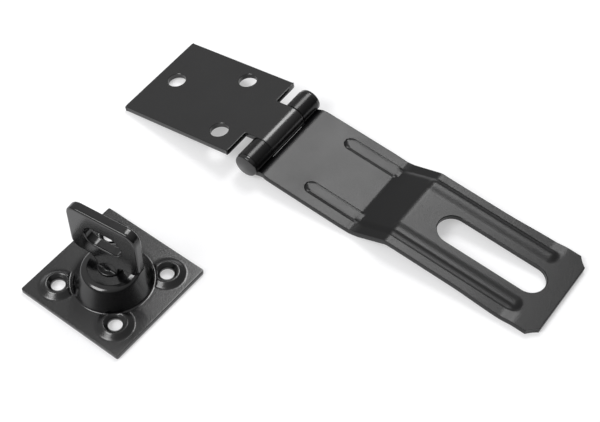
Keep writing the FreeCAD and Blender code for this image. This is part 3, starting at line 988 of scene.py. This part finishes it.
@dataclass
class ForgedEye:
    """The turning eye on its riveted stem.

    Its own frame has the stem's axis along Z, its foot at the base's underside, and the eye's width along X.
    Sizes are in millimetres and degrees.
    """

    turn: float = 4.0
    half_width: float = 14.2
    bottom: float = 14.6
    top: float = 36.6
    thickness: float = 3.7
    edge: float = 0.8
    top_corner: float = 4.6
    foot_corner: float = 3.8
    neck_corner: float = 2.4
    neck_low: float = 4.3
    neck_high: float = 5.3
    seat: float = 9.85
    stem_radius: float = 4.4
    stem_flange: tuple[Pair, ...] = ((0.0, 0.35), (0.25, 0.55), (2.0, 0.75))
    stem_tip: Pair = (1.2, 16.2)
    pin_radius: float = 2.9
    rivet_radius: float = 4.2
    rivet: Pair = (5.05, 6.45)
    hole_reach: float = 3.1
    hole_radius: float = 4.35
    hole_height: float = 25.4
    hole_break: float = 0.3
    voxel: float = 0.2
    rounds: int = 3

    def plate(self) -> bpy.types.Object:
        """Builds the flat eye with its neck, its corners and its rims rounded."""
        mesh = bmesh.new()
        right = [
            (self.neck_low, self.seat),
            (self.neck_high, self.bottom),
            (self.half_width, self.bottom),
            (self.half_width, self.top),
        ]
        corners = right + [(-x, z) for x, z in reversed(right)]
        points = [mesh.verts.new((x, -self.thickness / 2, z)) for x, z in corners]
        bmesh.ops.contextual_create(mesh, geom=points)
        for radius, chosen in (
            (self.neck_corner, (points[1], points[6])),
            (self.foot_corner, (points[2], points[5])),
            (self.top_corner, (points[3], points[4])),
        ):
            rounded(mesh, list(chosen), radius, CORNER_STEPS, "VERTICES")
        grown = bmesh.ops.extrude_face_region(mesh, geom=mesh.faces[:])["geom"]
        back = [v for v in grown if isinstance(v, bmesh.types.BMVert)]
        bmesh.ops.translate(mesh, verts=back, vec=(0.0, self.thickness, 0.0))
        bmesh.ops.recalc_face_normals(mesh, faces=mesh.faces[:])
        face_edges = [e for e in mesh.edges if abs(e.verts[0].co.y - e.verts[1].co.y) < WELD]
        rims = [e for e in face_edges if max(v.co.z for v in e.verts) > self.seat + WELD]
        rounded(mesh, rims, self.edge, ROUND_STEPS, "EDGES")
        return draft_object("eye_plate", mesh)

    def stem(self) -> bpy.types.Object:
        """Builds the stem with its flange, its pin and its riveted end."""
        low, high = self.rivet
        line = [
            (0.0, low),
            (self.rivet_radius, low),
            (self.rivet_radius, high),
            (self.pin_radius, high),
            (self.pin_radius, self.seat),
            (self.stem_radius, self.seat),
            *((self.stem_radius - inward, self.seat + up) for inward, up in self.stem_flange),
            self.stem_tip,
            (0.0, self.stem_tip[1]),
        ]
        return turned("eye_stem", line, closed=False, steps=72)

    def hole(self) -> bpy.types.Object:
        """Builds the padlock hole's cutter, turned to run through the eye."""
        half = self.thickness / 2
        reach = self.hole_reach
        tool = HoleCutter(-reach, reach, 0.0, self.hole_radius, -half, half, self.hole_break).cutter()
        upright = Matrix.Translation((0, 0, self.hole_height)) @ Matrix.Rotation(math.pi / 2, 4, "X")
        tool.data.transform(upright)
        return tool

    def build(self, frame: dict, coat: bpy.types.Material) -> None:
        """Builds the eye in the CAD eye's place.

        Args:
            coat: The eye's material.
        """
        mesh = combined(self.plate(), [("DIFFERENCE", self.hole()), ("UNION", self.stem())])
        mesh = coated_over("eye", mesh, self.voxel, self.rounds)
        place = staple_place(frame, self.turn)
        piece = finished("swivel_eye_forged", mesh, place, coat, COATED_EDGE)
        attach(piece, "eye")
        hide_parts("swivel_eye")


@dataclass
class RivetWasher:
    """The washer between the cone's roof and the riveted end of the stem. Sizes are in millimetres."""

    bore: float = 2.95
    radius: float = 5.6
    low: float = 6.45
    high: float = 7.65
    rounding: float = 0.2

    def build(self, frame: dict, coat: bpy.types.Material) -> None:
        """Builds the washer in the CAD washer's place.

        Args:
            coat: The washer's material.
        """
        low, high = self.low, self.high
        ring = [(self.bore, low), (self.radius, low), (self.radius, high), (self.bore, high)]
        mesh = settled(turned("washer", ring, rounding=self.rounding))
        place = staple_place(frame, ForgedEye.turn)
        piece = finished("eye_washer_round", mesh, place, coat, TURNED_EDGE)
        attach(piece, "eye")
        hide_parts("eye_washer")


@dataclass(frozen=True)
class Softbox:
    """An area lamp that looks at the part.

    Attributes:
        name: Name of the lamp.
        direction: Where it stands, seen from the part.
        distance: How far away it stands, in metres.
        width: Its width, in metres.
        height: Its height, in metres.
        power: Its power, in watts.
    """

    name: str
    direction: Triple
    distance: float
    width: float
    height: float
    power: float

    def build(self) -> None:
        """Adds the lamp to the scene."""
        lamp = bpy.data.lights.new(self.name, "AREA")
        lamp.shape = "RECTANGLE"
        lamp.size = self.width
        lamp.size_y = self.height
        lamp.energy = self.power
        stand = bpy.data.objects.new(self.name, lamp)
        direction = Vector(self.direction).normalized()
        stand.location = direction * self.distance
        stand.rotation_euler = direction.to_track_quat("Z", "Y").to_euler()
        bpy.context.scene.collection.objects.link(stand)


@dataclass
class Studio:
    """The pale floor, the soft light and the camera.

    Attributes:
        target: The point the camera looks at, in metres.
        azimuth: Angle of the camera round the part, in degrees.
        elevation: Angle of the camera above the floor, in degrees.
        distance: Distance from the camera to the target, in metres.
        lens: Focal length, in millimetres on a 36 mm sensor.
        lamps: The softboxes.
        floor_lift: Strength of the floor's own light.
        pale_side: The way in which the surroundings are palest.
    """

    target: Triple = (-6.669 * MM, 22.309 * MM, 0.0)
    azimuth: float = 35.91
    elevation: float = 52.47
    distance: float = 501.11 * MM
    lens: float = 83.80
    lamps: tuple[Softbox, ...] = (
        Softbox("back_softbox", (-0.2, 0.51, 0.835), 1.2, 0.45, 0.45, 5.5),
        Softbox("front_softbox", (-0.24, -0.6, 0.76), 1.2, 0.6, 0.5, 7.0),
    )
    floor_lift: float = 0.42
    pale_side: Triple = (-0.45, 0.1, 0.89)

    def build(self) -> None:
        """Builds the whole studio."""
        self.add_camera()
        self.add_floor()
        self.add_world()
        for lamp in self.lamps:
            lamp.build()
        bpy.context.scene.view_settings.view_transform = "Standard"

    def add_camera(self) -> None:
        """Adds the camera at the photograph's viewing angle."""
        camera = bpy.data.cameras.new("camera")
        camera.sensor_width = 36.0
        camera.lens = self.lens
        camera.clip_start = 0.01
        stand = bpy.data.objects.new("camera", camera)
        turn = math.radians(self.azimuth)
        rise = math.radians(self.elevation)
        back = Vector((math.sin(turn) * math.cos(rise), -math.cos(turn) * math.cos(rise), math.sin(rise)))
        stand.location = Vector(self.target) + back * self.distance
        stand.rotation_euler = back.to_track_quat("Z", "Y").to_euler()
        bpy.context.scene.collection.objects.link(stand)
        bpy.context.scene.camera = stand

    def add_floor(self) -> None:
        """Adds a pale floor that keeps the part's shadow and looks white."""
        mesh = bmesh.new()
        bmesh.ops.create_grid(mesh, x_segments=1, y_segments=1, size=4.0)
        data = bpy.data.meshes.new("floor")
        mesh.to_mesh(data)
        mesh.free()
        floor = bpy.data.objects.new("floor", data)
        bpy.context.scene.collection.objects.link(floor)
        paper = bpy.data.materials.new("floor_paper")
        paper.use_nodes = True
        nodes = paper.node_tree.nodes
        links = paper.node_tree.links
        nodes.clear()
        output = nodes.new("ShaderNodeOutputMaterial")
        mat = nodes.new("ShaderNodeBsdfDiffuse")
        mat.inputs["Color"].default_value = (0.6, 0.6, 0.61, 1.0)
        lift = nodes.new("ShaderNodeEmission")
        lift.inputs["Color"].default_value = (1.0, 1.0, 1.0, 1.0)
        both = nodes.new("ShaderNodeAddShader")
        path = nodes.new("ShaderNodeLightPath")
        seen = nodes.new("ShaderNodeMath")
        seen.operation = "MAXIMUM"
        links.new(path.outputs["Is Camera Ray"], seen.inputs[0])
        links.new(path.outputs["Is Glossy Ray"], seen.inputs[1])
        strength = nodes.new("ShaderNodeMath")
        strength.operation = "MULTIPLY"
        strength.inputs[1].default_value = self.floor_lift
        links.new(seen.outputs["Value"], strength.inputs[0])
        links.new(strength.outputs["Value"], lift.inputs["Strength"])
        links.new(mat.outputs["BSDF"], both.inputs[0])
        links.new(lift.outputs["Emission"], both.inputs[1])
        links.new(both.outputs["Shader"], output.inputs["Surface"])
        data.materials.append(paper)

    def add_world(self) -> None:
        """Adds plain surroundings, pale overhead and to the left, darker low down on the right."""
        world = bpy.data.worlds.new("studio")
        bpy.context.scene.world = world
        world.use_nodes = True
        nodes = world.node_tree.nodes
        links = world.node_tree.links
        nodes.clear()
        output = nodes.new("ShaderNodeOutputWorld")
        air = nodes.new("ShaderNodeBackground")
        air.inputs["Color"].default_value = (1.0, 1.0, 1.0, 1.0)
        place = nodes.new("ShaderNodeTexCoord")
        split = nodes.new("ShaderNodeVectorMath")
        split.operation = "DOT_PRODUCT"
        split.inputs[1].default_value = self.pale_side
        links.new(place.outputs["Generated"], split.inputs[0])
        level = nodes.new("ShaderNodeMapRange")
        level.inputs["From Min"].default_value = -0.3
        level.inputs["From Max"].default_value = 0.9
        level.inputs["To Min"].default_value = 0.03
        level.inputs["To Max"].default_value = 0.6
        links.new(split.outputs["Value"], level.inputs["Value"])
        links.new(level.outputs["Result"], air.inputs["Strength"])
        links.new(air.outputs["Background"], output.inputs["Surface"])


@dataclass
class HingedHalf:
    """The leaf, the strap and the pin that joins them."""

    leaf: RolledLeaf = field(default_factory=RolledLeaf)
    strap: PressedStrap = field(default_factory=PressedStrap)
    pin: HeadedPin = field(default_factory=HeadedPin)

    def build(self, frame: dict) -> None:
        """Builds the three pieces.
        """
        leaf_coat = PowderCoat("leaf_coat", Sheen.SEMI_GLOSS, 0.7, relief=0.000008)
        self.leaf.build(frame, leaf_coat.material())
        inner, outer = (radius * MM for radius in self.strap.rolled_zone)
        hinge = joint_point(frame, "strap_hinge")
        rolled = SmoothZone(hinge, (1.0, 0.0, 1.0), inner, outer, Sheen.SEMI_GLOSS)
        strap_coat = PowderCoat("strap_coat", Sheen.SATIN, 0.36, relief=0.00003, smooth_zone=rolled)
        self.strap.build(frame, strap_coat.material())
        self.pin.build(frame, PowderCoat("pin_coat", Sheen.GLOSS, 0.7).material())


@dataclass
class SwivelStaple:
    """The base plate with its cone, the turning eye and its washer."""

    base: PressedBase = field(default_factory=PressedBase)
    eye: ForgedEye = field(default_factory=ForgedEye)
    washer: RivetWasher = field(default_factory=RivetWasher)

    def build(self, frame: dict) -> None:
        """Builds the three pieces.
        """
        inner = self.base.cone_base * MM
        outer = (self.base.ring_radius + self.base.grain_margin) * MM
        axis = joint_point(frame, "eye_swivel")
        drawn = SmoothZone(axis, (1.0, 1.0, 0.0), inner, outer, Sheen.GLOSS)
        coat = PowderCoat("base_coat", Sheen.SEMI_GLOSS, 0.75, relief=0.00003, smooth_zone=drawn)
        base_coat = coat.material()
        self.base.build(frame, base_coat)
        self.eye.build(frame, PowderCoat("eye_coat", Sheen.GLOSS, 0.6).material())
        self.washer.build(frame, base_coat)


def main(frame: dict) -> None:
    """Builds the object and its studio.
    """
    logging.basicConfig(level=logging.INFO, format="%(name)s: %(message)s")
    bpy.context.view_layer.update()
    HingedHalf().build(frame)
    SwivelStaple().build(frame)
    Studio().build()


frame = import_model()

if __name__ == "__main__":
    main(frame)
